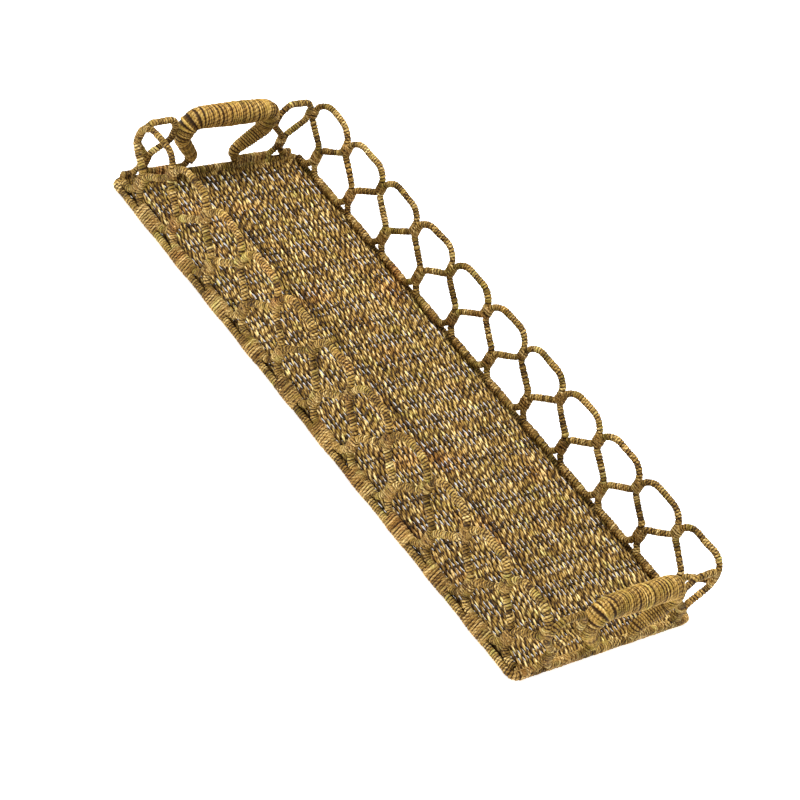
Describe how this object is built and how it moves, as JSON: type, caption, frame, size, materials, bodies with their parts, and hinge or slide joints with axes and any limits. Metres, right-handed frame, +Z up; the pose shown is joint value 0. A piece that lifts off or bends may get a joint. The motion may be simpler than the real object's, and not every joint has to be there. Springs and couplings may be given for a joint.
{
  "type": "bread basket",
  "caption": "Long low rectangular bread basket of seagrass twine on a wire frame, with open scalloped loop walls and a wrapped handle at each end.",
  "frame": {"origin": "middle of the footprint, on the surface that the basket stands on", "axes": "+X along the long side from handle to handle, +Y across the basket, +Z up"},
  "size_m": [0.4648, 0.169, 0.0595],
  "materials": {
    "steel_wire": "satin",
    "rim_twine": "matte",
    "mat_twine": "matte",
    "handle_twine": "matte",
    "tie_twine": "matte",
    "loop_twine": "matte"
  },
  "bodies": {
    "root": {"back_crown_ties": "tie_twine", "back_foot_bindings": "tie_twine", "back_loop_wire": "steel_wire", "back_loop_wrap": "loop_twine", "back_neck_ties": "tie_twine", "base_cross_rods": "steel_wire", "corner_ties": "tie_twine", "front_crown_ties": "tie_twine", "front_foot_bindings": "tie_twine", "front_loop_wire": "steel_wire", "front_loop_wrap": "loop_twine", "front_neck_ties": "tie_twine", "left_back_loop_wire": "steel_wire", "left_back_loop_wrap": "loop_twine", "left_foot_bindings": "tie_twine", "left_front_loop_wire": "steel_wire", "left_front_loop_wrap": "loop_twine", "left_handle_back_leg": "handle_twine", "left_handle_front_leg": "handle_twine", "left_handle_grip": "handle_twine", "left_handle_wire": "steel_wire", "left_neck_ties": "tie_twine", "right_back_loop_wire": "steel_wire", "right_back_loop_wrap": "loop_twine", "right_foot_bindings": "tie_twine", "right_front_loop_wire": "steel_wire", "right_front_loop_wrap": "loop_twine", "right_handle_back_leg": "handle_twine", "right_handle_front_leg": "handle_twine", "right_handle_grip": "handle_twine", "right_handle_wire": "steel_wire", "right_neck_ties": "tie_twine", "rim_rod": "steel_wire", "rim_wrap_back": "rim_twine", "rim_wrap_front": "rim_twine", "rim_wrap_left": "rim_twine", "rim_wrap_right": "rim_twine", "woven_mat": "mat_twine"}
  },
  "joints": []
}
